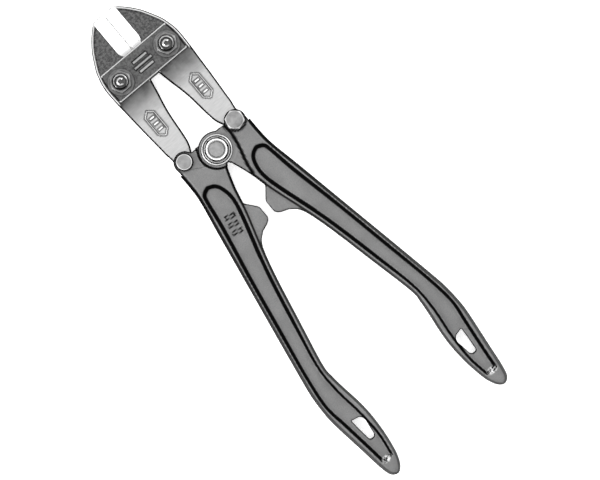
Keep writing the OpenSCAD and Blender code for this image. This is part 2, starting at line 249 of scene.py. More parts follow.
def setNode(tree, node, settings=None, links=None):
    # a setting is a socket's value or a property; a link comes from a node's first output or from (node, output)
    for key, value in (settings or {}).items():
        if isinstance(key, int) or key in node.inputs:
            node.inputs[key].default_value = value
        else:
            setattr(node, key, value)
    for key, source in (links or {}).items():
        start, output = source if isinstance(source, tuple) else (source, 0)
        tree.links.new(start.outputs[output], node.inputs[key])
    return node


def addNode(tree, kind, settings=None, links=None):
    return setNode(tree, tree.nodes.new(kind), settings, links)


def newMaterial(name):
    material = bpy.data.materials.new(name)
    material.use_nodes = True
    tree = material.node_tree
    return material, tree, tree.nodes["Principled BSDF"], (addNode(tree, "ShaderNodeTexCoord"), "Object")


def coats(tree, colour, layers):
    # colours laid over one another: each shows where its source runs from low to high, up to its strength
    for source, low, high, strength, over in layers:
        mask = addNode(tree, "ShaderNodeMapRange", {1: low, 2: high, 4: strength}, {0: source})
        mix = addNode(tree, "ShaderNodeMix", {"data_type": "RGBA"}, {0: mask})
        for index, part in ((6, colour), (7, over)):
            if isinstance(part, str):
                setNode(tree, mix, {index: linear(part)})
            else:
                setNode(tree, mix, None, {index: part})
        colour = (mix, 2)
    return colour


def dullWalls(tree, shader, wall, metallic, roughness, coat=0.0):
    # steep walls keep no gloss, so that they stay dark; the values given are the level faces' own
    matt = addNode(tree, "ShaderNodeMapRange", {1: 0.0, 2: 0.5}, {0: wall})
    sockets = (("Metallic", metallic, 0.0), ("Roughness", roughness, 0.9), ("Coat Weight", coat, 0.0),
               ("Specular IOR Level", 0.5, 0.0))
    for key, face, steep in sockets:
        if face == steep:
            setNode(tree, shader, {key: face})
        elif isinstance(face, float):
            setNode(tree, shader, None, {key: addNode(tree, "ShaderNodeMix", {2: face, 3: steep}, {0: matt})})
        else:
            setNode(tree, shader, None, {key: addNode(tree, "ShaderNodeMix", {3: steep}, {0: matt, 2: face})})


paint = {
    "face": "#636363",
    "mottle": "#555555",
    "fleck": "#4c4c4c",
    "thin": "#7c7c7c",  # painted highlight over the edges
    "wallShade": "#0b0b0b",  # painted shade on the walls
    # painted glint, shaped as small chips at the channel's lower end
    "glintWhite": "#f2f2f2",
    "mottleMm": 16.667,
    "peelMm": 1.6,
    "grainMm": 0.7,
    "gloss": (0.4, 0.56),  # roughness, from the glossiest patch to the dullest
    "coat": 0.12,
}


def enamelOnForging():
    # grey stoving enamel on a shot-blasted drop forging: soft gloss and faint orange peel, painted shade on the
    # steep walls, a painted highlight over the edges, and near-white painted glints shaped as chips at the
    # channel's lower end
    material, tree, shader, place = newMaterial("GreyEnamelOnForgedSteel")
    wall, rim, glintChip = [(addNode(tree, "ShaderNodeAttribute", {"attribute_name": mark}), "Fac")
                       for mark in ("wall", "rim", "glintChip")]
    mottle = addNode(tree, "ShaderNodeTexNoise",
                     {"Scale": 1000 / paint["mottleMm"], "Detail": 5.0, "Roughness": 0.6}, {"Vector": place})
    grain = addNode(tree, "ShaderNodeTexNoise",
                    {"Scale": 1000 / paint["grainMm"], "Detail": 3.0}, {"Vector": place})
    peel = addNode(tree, "ShaderNodeTexNoise",
                   {"Scale": 1000 / paint["peelMm"], "Detail": 2.0}, {"Vector": place})
    # near-white painted glints, broken up into chips by the peel noise
    flake = addNode(tree, "ShaderNodeMapRange", {1: 0.47, 2: 0.5}, {0: peel})
    glintSpots = addNode(tree, "ShaderNodeMath", {"operation": "MULTIPLY"}, {0: flake, 1: glintChip})
    # over the mottle and grain: a painted highlight on the edges, painted shade on the walls, and painted glints
    # at the channel's end
    colour = coats(tree, paint["face"], [(mottle, 0.3, 0.75, 1.0, paint["mottle"]),
                                         (grain, 0.4, 0.66, 0.6, paint["fleck"]),
                                         (rim, 0.0, 1.0, 1.0, paint["thin"]),
                                         (wall, 0.0, 1.0, 1.0, paint["wallShade"]),
                                         (glintSpots, 0.0, 1.0, 1.0, paint["glintWhite"])])
    low, high = paint["gloss"]
    dullWalls(tree, shader, wall, 0.0,
              addNode(tree, "ShaderNodeMapRange", {1: 0.3, 2: 0.7, 3: low, 4: high}, {0: mottle}), paint["coat"])
    waves = addNode(tree, "ShaderNodeBump", {"Strength": 0.35, "Distance": 0.0001}, {"Height": peel})
    grit = addNode(tree, "ShaderNodeBump",
                   {"Strength": 0.25, "Distance": 0.00004}, {"Height": grain, "Normal": waves})
    setNode(tree, shader, None, {"Base Color": colour, "Normal": grit})
    return material


jawFinish = {
    "oxide": "#444444",
    "oxideFleck": "#050505",
    "tailShadedTop": "#1e1e1e",  # painted shade at the tail's top, just below the plates
    "tail": "#9c9c9c",
    "beltLine": "#5a5a5a",
    "rubbedAndHighlit": "#e6e6e6",  # painted highlight on the chamfers; raised lines rubbed bright
    "ground": "#e8e8e8",
    "wheelLine": "#d4d4d4",
    # painted shade on the steep walls
    "wall": "#0b0b0b",
    "cloudMm": 9.09,
    "fleckMm": 1.6667,  # real scale is finer; this is as coarse as it needs to show
    "beltMm": 0.7692,
    "wheelMm": 0.4545,
    "tailFrom": (0.126, 0.122),  # metres along the tool: the oxide stops, under the plates
    # metres along the tool over which the painted gradient of light runs from dark to light grey
    "brightening": (0.129, 0.109),
}


def hardenedJawSteel():
    # chrome-vanadium forging: speckled black where it was hardened, belt-finished down the tail under a painted
    # gradient of light from dark below the plates to light grey, and wheel-ground to a pale even sheen on the
    # bevels
    look = jawFinish
    material, tree, shader, place = newMaterial("BlackenedAndGroundJawSteel")
    wall, rim, ground = [(addNode(tree, "ShaderNodeAttribute", {"attribute_name": mark}), "Fac")
                         for mark in ("wall", "rim", "ground")]
    axes = addNode(tree, "ShaderNodeSeparateXYZ", None, {0: place})
    cloud = addNode(tree, "ShaderNodeTexNoise",
                    {"Scale": 1000 / look["cloudMm"], "Detail": 5.0}, {"Vector": place})
    fleck = addNode(tree, "ShaderNodeTexNoise",
                    {"Scale": 1000 / look["fleckMm"], "Detail": 4.0, "Roughness": 0.75}, {"Vector": place})
    # belt marks run across the tail, wheel marks square to the cutting edge
    belt = addNode(tree, "ShaderNodeMapping",
                   {"Scale": (160.0, 1000 / look["beltMm"], 300.0), "Rotation": (0, 0, 0.25)}, {0: place})
    beltLines = addNode(tree, "ShaderNodeTexNoise", {"Scale": 1.0, "Detail": 3.0}, {"Vector": belt})
    wheel = addNode(tree, "ShaderNodeMapping", {"Scale": (60.0, 1000 / look["wheelMm"], 60.0)}, {0: place})
    wheelLines = addNode(tree, "ShaderNodeTexNoise",
                         {"Scale": 1.0, "Detail": 4.0, "Roughness": 0.7}, {"Vector": wheel})
    wobble = addNode(tree, "ShaderNodeMath",
                     {"operation": "MULTIPLY_ADD", 1: 0.012}, {0: cloud, 2: (axes, "Y")})
    start, end = look["tailFrom"]
    isTail = addNode(tree, "ShaderNodeMapRange", {1: start, 2: end}, {0: (axes, "Y")})
    head = coats(tree, look["oxide"], [(fleck, 0.43, 0.57, 1.0, look["oxideFleck"])])
    # painted gradient of light down the tail: dark below the plates, light grey towards the fork pins
    tail = coats(tree, look["tailShadedTop"], [(wobble, *look["brightening"], 1.0, look["tail"])])
    bevel = coats(tree, look["ground"], [(wheelLines, 0.3, 0.75, 0.5, look["wheelLine"])])
    # the rim colour is a painted highlight on the head's chamfers, with the rubbed raised lines; the wall colour
    # is painted shade
    colour = coats(tree, head, [(isTail, 0.0, 1.0, 1.0, tail), (beltLines, 0.35, 0.75, 0.22, look["beltLine"]),
                                (rim, 0.0, 1.0, 1.0, look["rubbedAndHighlit"]), (wall, 0.0, 1.0, 1.0, look["wall"]),
                                (ground, 0.0, 1.0, 1.0, bevel)])
    bright = addNode(tree, "ShaderNodeMath", {"operation": "MAXIMUM"}, {0: isTail, 1: ground})
    dullWalls(tree, shader, wall, addNode(tree, "ShaderNodeMapRange", {3: 0.25, 4: 0.7}, {0: bright}),
              addNode(tree, "ShaderNodeMapRange", {3: 0.52, 4: 0.36}, {0: ground}))
    scale = addNode(tree, "ShaderNodeBump", {"Strength": 0.3, "Distance": 0.00005}, {"Height": fleck})
    lines = addNode(tree, "ShaderNodeBump", {"Strength": 0.15, "Distance": 0.00003},
                    {"Height": wheelLines, "Normal": scale})
    setNode(tree, shader, None, {"Base Color": colour, "Normal": lines})
    return material


plateFinish = {
    "face": "#3c3c3c",
    "cloud": "#4a4a4a",
    "crystal": "#141414",
    # painted highlight on the long rims
    "rimHighlight": "#d8d8d8",
    # painted shade on the steep walls, short ends and bar feet
    "wall": "#101010",
    "cloudMm": 6.25,
    "crystalMm": 1.613,  # real crystals are finer; these are as coarse as they need to be to show
    "metallic": 0.3,
    "roughness": 0.5,
}


def phosphatedPlateSteel():
    # stamped steel, zinc-phosphated dark: matt and mottled with small crystals, a painted highlight on its long
    # rims and painted shade on its steep walls
    look = plateFinish
    material, tree, shader, place = newMaterial("PhosphatedPlateSteel")
    wall, rim = [(addNode(tree, "ShaderNodeAttribute", {"attribute_name": mark}), "Fac")
                 for mark in ("wall", "rim")]
    cloud = addNode(tree, "ShaderNodeTexNoise",
                    {"Scale": 1000 / look["cloudMm"], "Detail": 5.0}, {"Vector": place})
    crystal = addNode(tree, "ShaderNodeTexNoise",
                      {"Scale": 1000 / look["crystalMm"], "Detail": 4.0, "Roughness": 0.75}, {"Vector": place})
    colour = coats(tree, look["face"], [(cloud, 0.3, 0.7, 1.0, look["cloud"]),
                                        (crystal, 0.44, 0.62, 0.85, look["crystal"]),
                                        (rim, 0.0, 1.0, 1.0, look["rimHighlight"]),
                                        (wall, 0.0, 1.0, 1.0, look["wall"])])
    dullWalls(tree, shader, wall, look["metallic"], look["roughness"])
    pits = addNode(tree, "ShaderNodeBump", {"Strength": 0.35, "Distance": 0.00005}, {"Height": crystal})
    setNode(tree, shader, None, {"Base Color": colour, "Normal": pits})
    return material


# colours of the face, its mottle and its bevels (a painted highlight, but painted shade on the bright zinc's
# bevels), then metallic and roughness
fastenerFinish = {
    "BlackOxideBoltSteel": ("#2a2a2a", "#161616", "#c8c8c8", 0.5, 0.3),
    "PhosphatedNutSteel": ("#505050", "#3a3a3a", "#767676", 0.3, 0.36),
    "DullZincPlate": ("#4a4a4a", "#3a3a3a", "#c4c4c4", 0.3, 0.4),
    "BrightZincPlate": ("#d6d6d6", "#c2c2c2", "#1c1c1c", 0.5, 0.3),
    "TurnedPinSteel": ("#7a7a7a", "#686868", "#b6b6b6", 0.3, 0.4),
    "RolledBrass": ("#b89b5a", "#a58a4c", "#d8c080", 0.9, 0.35),
}
# the wall colour is painted shade on the steep faces
fastenerGrain = {"wall": "#101010", "cloudMm": 2.381, "grainMm": 0.4545, "roughLess": 0.06, "roughMore": 0.08}


def fastenerSteel(name):
    # turned or rolled metal with its plating: a faint cloudy mottle, satin gloss, a painted highlight on the
    # bevels (painted shade on the bright zinc's bevels) and painted shade on the steep faces
    look = fastenerGrain
    face, patch, bevelPaintedLight, metallic, roughness = fastenerFinish[name]
    material, tree, shader, place = newMaterial(name)
    wall, rim = [(addNode(tree, "ShaderNodeAttribute", {"attribute_name": mark}), "Fac")
                 for mark in ("wall", "rim")]
    cloud = addNode(tree, "ShaderNodeTexNoise",
                    {"Scale": 1000 / look["cloudMm"], "Detail": 4.0}, {"Vector": place})
    grain = addNode(tree, "ShaderNodeTexNoise",
                    {"Scale": 1000 / look["grainMm"], "Detail": 3.0}, {"Vector": place})
    colour = coats(tree, face, [(cloud, 0.35, 0.7, 1.0, patch), (rim, 0.0, 1.0, 1.0, bevelPaintedLight),
                                (wall, 0.0, 1.0, 1.0, look["wall"])])
    low, high = roughness - look["roughLess"], roughness + look["roughMore"]
    dullWalls(tree, shader, wall, metallic,
              addNode(tree, "ShaderNodeMapRange", {1: 0.3, 2: 0.7, 3: low, 4: high}, {0: grain}))
    skin = addNode(tree, "ShaderNodeBump", {"Strength": 0.2, "Distance": 0.00003}, {"Height": grain})
    setNode(tree, shader, None, {"Base Color": colour, "Normal": skin})
    return material


enamel = enamelOnForging()
jawSteel = hardenedJawSteel()
plateSteel = phosphatedPlateSteel()
blackBolt, greyNut, washerZinc, nutZinc, pinSteel, brass = [fastenerSteel(name) for name in fastenerFinish]
print("materials ready")


forging = {
    "half": 8.0,  # half the thickness over the rims
    "gripX": 57.0,  # the grip's outermost point
    "gripWidth": 22.6,
    "shankWidth": 17.4,
    "rimWidth": 3.9,
    "topShare": 0.32,  # the top part's share of the way down, and its length
    "topPart": 75.3,
    "stopGap": 5.3,  # between the two stop lugs
    "rimRound": 1.5,
    "channelDepth": 4.5,
    # width of the channel's sloping wall at the shank and at the grip, and what the outer wall has more
    "wallTop": 2.8,
    "wallGrip": 1.5,
    "wallOutside": 0.6,
    "draftOut": 0.25,  # lean of the outer side and of the inner side
    "draftIn": 0.14,
    "forkRadius": 8.3,
    "slotHalf": 4.2,
    "slotRadius": 8.7,
    "slotOpen": 40,  # degrees that the slot stays open past level
    "eyeRadius": 12.4,
    "eyeRoom": 12.9,  # round space in which the other handle's eye turns
    "eyeTop": 5.6,
    "eyeGap": 0.1,
    "lugHalf": 4.7,
    "lugRound": 1.3,
    "boltBore": 5.3,
    "pinBore": 3.8,
    "seatRadius": 8.2,  # shallow round seat under the front pin head
    "seatDepth": 0.45,
    "facing": 0.55,  # how much the fork's back cheek is faced down
    "bar": (3.0, 0.9),  # half sizes of a raised bar on the back's channel floor
    "barStep": (1.2, -5.2),
    "barTilt": 14,
    "barLift": 0.45,
    "glintChipAt": (44.3, -222.8),  # where the painted glint chips sit: the lower end of the channel
    "gridStep": 0.53,
}


def down(f):
    # height on a handle, from the main pivot (0) to the handle's end (1)
    share, part = forging["topShare"], forging["topPart"]
    if f < share:
        return -f * part / share
    return -part - (f - share) / (1 - share) * (tool["handleEnd"] - part)


def across(f):
    # place across the tool, from the outside of the fork (0) to the widest part of the grip (1)
    top = tool["pin"][0] + forging["forkRadius"]
    return top + f * (forging["gripX"] - top)


def handleBody():
    # the forging from the front, without its eye and its stop lug
    pinX, pinY = tool["pin"]
    gripX, shank, radius = forging["gripX"], forging["shankWidth"], forging["forkRadius"]
    gripIn = gripX - forging["gripWidth"]
    edge = through([
        (across(0), pinY), (across(0) - 0.2, down(0.03)), (pinX + 9.1, down(0.085)), (across(0.171), down(0.17)),
        (across(0.44), down(0.34)), (across(0.71), down(0.51)), (across(0.907), down(0.637)),
        (across(0.967), down(0.68)), (across(0.996), down(0.722)), (gripX, down(0.765)),
        (across(0.965), down(0.807)),
        (across(0.918), down(0.85)), (across(0.871), down(0.892)), (across(0.803), down(0.955)),
        (across(0.722), down(0.989)), (across(0.554), down(1)), (across(0.399), down(0.986)),
        (gripIn + 3, down(0.957)), (gripIn + 1.2, down(0.92)), (gripIn, down(0.88)), (gripIn - 0.6, down(0.83)),
        (gripIn, down(0.78)), (gripIn + 1.8, down(0.722)), (gripIn + 2.8, down(0.68)),
        (across(0.907) - shank, down(0.637)), (across(0.71) - shank - 1, down(0.51)),
        (across(0.44) - shank - 2.6, down(0.34)), (across(0.171) - shank - 5.9, down(0.19)),
        (8.4, down(0.145)), (6.7, down(0.115)), (4.5, down(0.085)), (2, down(0.056)), (1.1, down(0.05))])
    return np.vstack([[(13.1, 10), (pinX - 7, pinY + 4)], arc((pinX, pinY), radius, 140, 6, 24), edge,
                      [(0.9, -6), (7.4, 0), (9.8, 6), (9.8, 10)]])


def stopLug():
    x = forging["stopGap"] / 2
    return np.array([(x, down(0.195)), (x + 1, down(0.188)), (x + 6, down(0.162)), (14, down(0.16)),
                     (24, down(0.3)), (20, down(0.302)), (18.6, down(0.287)), (15, down(0.266)),
                     (11, down(0.252)), (6, down(0.244)), (x + 1.2, down(0.238)), (x, down(0.23))])


def channelLine():
    # an arch at the top and a narrow square end
    pinX, gripX, shank, rim = tool["pin"][0], forging["gripX"], forging["shankWidth"], forging["rimWidth"]
    gripIn, top = gripX - forging["gripWidth"], down(0.064)
    outer = through([
        (pinX - 0.6, top), (pinX + 3.6, top - 2.1), (pinX + 5.4, top - 7),
        (across(0.171) - rim - 0.4, down(0.18)),
        (across(0.44) - rim, down(0.34)), (across(0.71) - rim, down(0.51)), (across(0.907) - rim, down(0.637)),
        (gripX - rim, down(0.73)), (across(0.969) - rim - 1, down(0.80)), (across(0.876) - rim - 1, down(0.89)),
        (across(0.803) - rim - 0.4, down(0.946))])
    inner = through([
        (gripIn + 5.8, down(0.946)), (gripIn + 3.6, down(0.88)), (gripIn + 4.2, down(0.80)),
        (gripIn + 2.4 + rim, down(0.72)), (across(0.907) - shank + rim - 0.4, down(0.637)),
        (across(0.71) - shank - 1 + rim, down(0.51)), (across(0.44) - shank - 2.6 + rim, down(0.34)),
        (across(0.171) - shank - 5.5 + rim, down(0.19)), (pinX - 8.8, down(0.13)), (pinX - 7.6, top - 6.5),
        (pinX - 4.8, top - 2), (pinX - 0.6, top)])
    return np.vstack([outer, inner[:-1]])


def hangHole():
    # tapered, wider at the top
    points = np.array([(3.7, 8.0), (3.3, 8.4), (-1.7, 7.2), (-3.2, 5.6), (-3.8, 3.2), (-3.1, -1.4), (-2.3, -7.2),
                       (-1.1, -8.6), (1.4, -8.7), (2.3, -7.8), (3.1, -0.4)])
    return points + (across(0.48), down(0.805) - 8.75)


def forkSlot():
    # room for the jaw tail all the way round its swing
    r, far, turn = forging["slotRadius"], 40.0, math.radians(forging["slotOpen"])
    line = np.vstack([[(-r - 2, far), (-r - 1.8, 1.6), (-r, 1.2)],
                      arc((0, 0), r, 180, 270 + forging["slotOpen"], 40),
                      [(r * math.sin(turn) + far * math.cos(turn), far * math.sin(turn) - r * math.cos(turn)),
                       (far, far)]])
    return line + tool["pin"]


# face stepped down beside the front eye; the eye's neck, and the notch below it
eyeStep = [(12.9, 14), (13.6, 6), (13.9, 3), (13.2, -3), (11.6, -10), (9.8, -16), (8.6, -21.4), (8.0, -26.4),
           (0, -30), (-20, -24), (-20, 14)]
eyeNeck = [(6.5, 10), (13.1, 10), (15, 5), (14.4, -8), (10.5, -16), (3.2, -14.2), (2, -13), (1, -6)]
eyeNotch = [(0.1, -10.4), (1.5, -12.6), (0, -15), (-6, -15), (-2.2, -12.6)]


def forgingSkin():
    # one forging in its right-hand place: a rounded plate with leaning sides, joined by fillets to its thin
    # stop lug and to its eye, less the channels, the step beside the eye, the slot, the bores and the hang hole
    g, pinX, pinY = forging, *tool["pin"]
    step = g["gridStep"]
    low = np.array([-14.0, -237.0, -9.25])
    x, y, z = gridOver(low, (59.0, 17.5, 9.5), step)
    deep = lambda a: a[:, :, None]
    body, lug, channel, hole = (outlineDistance(line, x, y) for line in
                                (handleBody(), stopLug(), channelLine(), hangHole()))
    fromPivot, fromPin = np.hypot(x, y), np.hypot(x - pinX, y - pinY)
    # the handle's middle line tells its outer side from its inner one
    midLine = np.interp(y, [-235, -200, -160, -130, -100, -75, -50, -30, 0],
                        [45, 44, 46.5, 42, 35.5, 29.5, 23, 18, 15])
    outside = ramp(x - midLine, 8)
    # the face sinks into the channel along a sloping wall, narrower down at the grip
    wall = g["wallTop"] + (g["wallGrip"] + g["wallOutside"] * outside - g["wallTop"]) * ramp(-130 - y, 50)
    sunk = g["half"] - g["channelDepth"] * (1 - slope(channel, wall))
    # three raised bars on the back's channel floor
    bars = np.full(x.shape, 9.0)
    c, s = math.cos(math.radians(g["barTilt"])), math.sin(math.radians(g["barTilt"]))
    for i in range(3):
        offX, offY = x - pinX - 0.2 - g["barStep"][0] * i, y - down(0.163) - g["barStep"][1] * i
        bars = np.minimum(bars, np.maximum(np.abs(offX * c + offY * s) - g["bar"][0],
                                           np.abs(offY * c - offX * s) - g["bar"][1]))
    fromStep = outlineDistance(eyeStep, x, y)
    front = np.minimum(sunk, g["eyeTop"] + (g["half"] - g["eyeTop"]) * slope(fromStep - 0.2, 2.2))
    front = front - g["seatDepth"] * (1 - ramp(fromPin - g["seatRadius"], 0.9)) * ramp(fromStep - 2.2, 1.0)
    slant = (y - 3) * 0.88 - (x - 25) * 0.48
    back = sunk - g["facing"] * ramp(slant, 0.8) + g["barLift"] * (1 - ramp(bars, 0.5))
    draft = g["draftIn"] + (g["draftOut"] - g["draftIn"]) * outside
    solid = roundedPlate(deep(body) + np.abs(z) * deep(draft), z, g["half"], g["rimRound"])
    solid = np.maximum(solid, -deep(fromPivot - g["eyeRoom"]))
    solid = np.maximum(np.maximum(solid, z - deep(front)), -z - deep(back))
    solid = blended(solid, roundedPlate(deep(lug), z, g["lugHalf"], g["lugRound"]), 1.4)
    # the other handle's eye turns behind this one
    room = np.maximum(deep(fromPivot - g["eyeRoom"]), z - g["eyeGap"])
    solid = np.maximum(solid, -room)
    eyeEdge = np.minimum(fromPivot - g["eyeRadius"], outlineDistance(eyeNeck, x, y))
    eyeEdge = np.maximum(eyeEdge, -outlineDistance(eyeNotch, x, y))
    eyeMid = (g["eyeTop"] + g["eyeGap"]) / 2
    eye = roundedPlate(deep(eyeEdge) + np.abs(z - eyeMid) * 0.2, z - eyeMid, eyeMid - g["eyeGap"], 0.9)
    solid = np.maximum(blended(solid, eye, 0.9), -room)
    solid = without(solid, np.maximum(deep(outlineDistance(forkSlot(), x, y)), np.abs(z) - g["slotHalf"]), 0.4)
    solid = without(solid, deep(hole) + 0 * z, 1.2)
    bores = np.minimum(fromPivot - g["boltBore"], fromPin - g["pinBore"])
    solid = without(solid, deep(bores) + 0 * z, 0.4).astype(np.float32)
    points, faces = levelSkin(solid, low, step)
    print("forging skin", len(points), "points")
    # painted shade round the raised bars, along the eye's step and round the pin heads; the painted glint chips
    # at the channel's end; and how far each point lies in the channel
    i, j, _ = np.round((points - low) / step).astype(int).T
    height = points[:, 2]
    dark = peak(bars[i, j], 1.2, 0.2, 0.55) * (height < 0)
    onStep = (height > g["eyeTop"] - 0.2) * (points[:, 0] > 7)
    dark = np.maximum(dark, peak(fromStep[i, j], 1.7, 0.1, 0.9) * onStep)
    outward = (points[:, 0] - pinX) * 0.5 + (points[:, 1] - pinY) * 0.85
    ring = np.where(height > 0, 1, ramp(outward, 6)) * (np.abs(height) > 6)
    dark = np.maximum(dark, peak(fromPin[i, j], 1.4, 7.1, 0.8) * ring)
    endX, endY = g["glintChipAt"]
    fromEnd = np.hypot((points[:, 0] - endX) / 3.4, (points[:, 1] - endY) / 1.9)
    glintChip = peak(fromEnd, 1.3, 0, 1) * (np.abs(height) > 2)
    spots = {"dark": dark, "glintChip": glintChip, "sunk": ramp(1.4 - channel[i, j], 1)}
    return settled(points, faces, solid, low, step, 2), faces, spots


def handleMarks(points, faces, spots):
    # painted shade on the steep faces: full in the channel and round the fork, less down the outer sides of the
    # grip; a painted highlight on faces that lean a little, stronger near the eye
    up = upward(points, faces)
    side = np.interp(points[:, 1], [-235, -160, -110, -45, -15], [0.45, 0.5, 0.66, 0.9, 1.0])
    steep = np.clip((0.88 - up) / 0.25, 0, 1)
    nearEye = ramp(16 - np.hypot(points[:, 0], points[:, 1]), 3)
    return {"wall": np.maximum(steep * (side + (1 - side) * spots["sunk"]), spots["dark"]),
            "rim": peak(up, 1, 0.95, 0.05) * (0.3 + 0.6 * nearEye), "glintChip": spots["glintChip"]}


# the left handle is the right one's forging turned over
points, faces, spots = forgingSkin()
makePiece("HandleRight", points, faces, enamel, "right_handle", "handle_right",
          handleMarks(points, faces, spots))
points = turnedOver(points)
makePiece("HandleLeft", points, faces, enamel, "left_handle", "handle_left",
          handleMarks(points, faces, spots))
print("handles ready")


jaw = {
    "half": 4.0,  # half the thickness
    "spread": 61.5,  # over both jaws
    "tipWidth": 16.6,
    "tailWidth": 21.4,
    "endRadius": 7.4,
    "draft": 0.22,
    "headChamfer": 2.1,
    "tailChamfer": 1.5,
    "bevel": 9.2,  # width of the ground face
    "edgeGap": 0.24,  # between the two cutting edges
    "edgeHalf": 0.28,  # half the thickness left at the cutting edge
    "cutEnd": 89.5,  # the bevel runs out below this height
    "runOut": 0.085,
    "headFrom": 62,  # the head's chamfer and colour begin here, under the plates
    "boltBore": 5.3,
    "openBore": 6.45,  # right jaw: opened out, and nearer the middle by openShift
    "openShift": 1.05,
    "pinBore": 3.75,
    "frame": (7.3, 19.6, 0.4),  # raised six-sided frame: width, length, half its line
    "bar": (1.9, 0.7),  # half sizes of the three bars in the frame
    "barPitch": 4.4,
    "gridStep": 0.36,
}


def jawOutline():
    tip, bolt, wide, tail = tool["jawTip"], tool["headBolt"][1], jaw["spread"] / 2, jaw["tailWidth"]
    (pinX, pinY), r, e = tool["pin"], jaw["endRadius"], jaw["edgeGap"] / 2
    tailX = pinX - 1.9
    outer = through([
        (jaw["tipWidth"] / 2, tip), (wide * 0.457, tip - 5.3), (wide * 0.6, tip - 10.3),
        (wide * 0.715, tip - 15.3),
        (wide * 0.888, tip - 25.3), (wide * 0.943, tip - 30.3), (wide * 0.982, tip - 35.3), (wide, bolt + 1),
        (wide * 0.993, bolt - 9), (wide * 0.973, bolt - 19), (wide * 0.945, bolt * 0.54),
        (tailX + 8.6, bolt * 0.33), (tailX + 8.3, bolt * 0.26), (pinX + r - 1.8, pinY + 5.4),
        (pinX + r - 0.2, pinY + 1.6), (pinX + r, pinY)])
    inner = through([
        (pinX - r - 0.1, pinY + 2), (pinX - 10, bolt * 0.2), (pinX - 11.3, bolt * 0.3),
        (wide * 0.955 - tail, bolt * 0.54), (wide * 0.973 - tail - 3.6, bolt - 19),
        (wide * 0.98 - tail - 5.2, bolt - 12), (2.6, bolt - 8), (1.2, bolt - 2), (e, bolt + 7)])
    return np.vstack([[(e, tip)], outer, [(pinX, pinY), (pinX - r, pinY)], inner])


def bevelPlane(x, y):
    # height of the ground face: it rises evenly from the cutting edge, and sooner where it runs out below
    runOut = np.maximum(jaw["cutEnd"] - y, 0) ** 2 * jaw["runOut"]
    rise = (jaw["half"] - jaw["edgeHalf"]) / (jaw["bevel"] - jaw["edgeGap"] / 2)
    return jaw["edgeHalf"] + (x - jaw["edgeGap"] / 2 + runOut) * rise, rise


def raisedFrame(x, y):
    # distance from the lines of a six-sided frame and three bars in it, on the middle of the tail
    width, length, line = jaw["frame"]
    w, l = width / 2, length / 2
    cx, cy = tool["headBolt"][0] - 0.3, tool["headBolt"][1] * 0.525
    frameLine = np.array([(-w, 3 - l), (0, -l), (w, 3 - l), (w, l - 3), (0, l), (-w, l - 3)]) + (cx, cy)
    lines = np.abs(outlineDistance(frameLine, x, y)) - line
    for i in (-1, 0, 1):
        bar = np.maximum(np.abs(x - cx) - jaw["bar"][0], np.abs(y - cy - jaw["barPitch"] * i) - jaw["bar"][1])
        lines = np.minimum(lines, bar)
    return lines


def jawSkin(boreX, boreR):
    # slab with leaning sides and chamfered rims, cut by the bevel's plane on both faces
    g, pinX, pinY = jaw, *tool["pin"]
    step, half = g["gridStep"], g["half"]
    low = np.array([-0.9, -3.0, -4.95])
    x, y, z = gridOver(low, (32.0, 116.2, 5.3), step)
    deep = lambda a: a[:, :, None]
    fromPin = np.hypot(x - pinX, y - pinY)
    edge = np.minimum(outlineDistance(jawOutline(), x, y), fromPin - g["endRadius"])
    chamfer = g["tailChamfer"] + (g["headChamfer"] - g["tailChamfer"]) * ramp(y - g["headFrom"], 6)
    slab = np.maximum(deep(edge) + g["draft"] * np.abs(z), np.abs(z) - half)
    solid = np.maximum(slab, deep(edge) * 0.6 + (np.abs(z) - half + deep(chamfer) * 0.6) * 0.8)
    plane, rise = bevelPlane(x, y)
    solid = np.maximum(solid, (np.abs(z) - deep(plane)) / math.hypot(1, rise))
    lines = raisedFrame(x, y)
    raised = np.maximum(np.maximum(deep(lines), z - half - 0.4), half - 1 - z)
    solid = blended(solid, raised, 0.25)
    bores = np.minimum(np.hypot(x - boreX, y - tool["headBolt"][1]) - boreR, fromPin - g["pinBore"])
    solid = without(solid, deep(bores) + 0 * z, 0.3).astype(np.float32)
    points, faces = levelSkin(solid, low, step)
    print("jaw skin", len(points), "points")
    # the raised lines' tops are rubbed bright; painted shade lies at their feet and in a line inside the chamfer
    i, j, _ = np.round((points - low) / step).astype(int).T
    onTail = points[:, 2] > half - 1
    onFace = (np.abs(points[:, 2]) > half - 0.2) * (points[:, 0] > 9)
    spots = {"dark": peak(lines[i, j], 1, 0.35, 0.45) * onTail,
             "worn": np.clip(-lines[i, j] / 0.3, 0, 0.7) * onTail,
             "border": peak(edge[i, j], 0.7, -2.4, 0.6) * onFace}
    return settled(points, faces, solid, low, step, 1), faces, spots


def jawMarks(points, faces, spots):
    up = upward(points, faces)
    x, y, z = np.abs(points[:, 0]), points[:, 1], np.abs(points[:, 2])
    level, _ = bevelPlane(x, y)
    onBevel = peak(z, 1.5, level, 0.25) * (up > 0.8) * (z < jaw["half"] - 0.12) * (y > 70)
    tail = ramp(jaw["headFrom"] - y, 2)
    # painted shade on the steep faces, more down the tail
    wall = np.clip((0.5 + 0.45 * tail - up) / 0.15, 0, 1)
    wall = np.maximum(wall, np.maximum(spots["dark"] * 0.75, spots["border"] * (1 - tail)))
    # painted highlight on the head's chamfers
    chamfered = peak(up, 1, 0.8, 0.15) * (z > 2.2) * (1 - tail)
    # the tip's own edge is ground too, and only a thin grey line is left of it
    tip = (y > tool["jawTip"] - 2.5) & (x < 10)
    return {"ground": np.maximum(onBevel, tip * 0.6),
            "wall": np.where(tip, wall * 0.5, wall * (0.8 + 0.2 * tail)) * (onBevel < 0.5),
            "rim": np.maximum(chamfered, spots["worn"])}


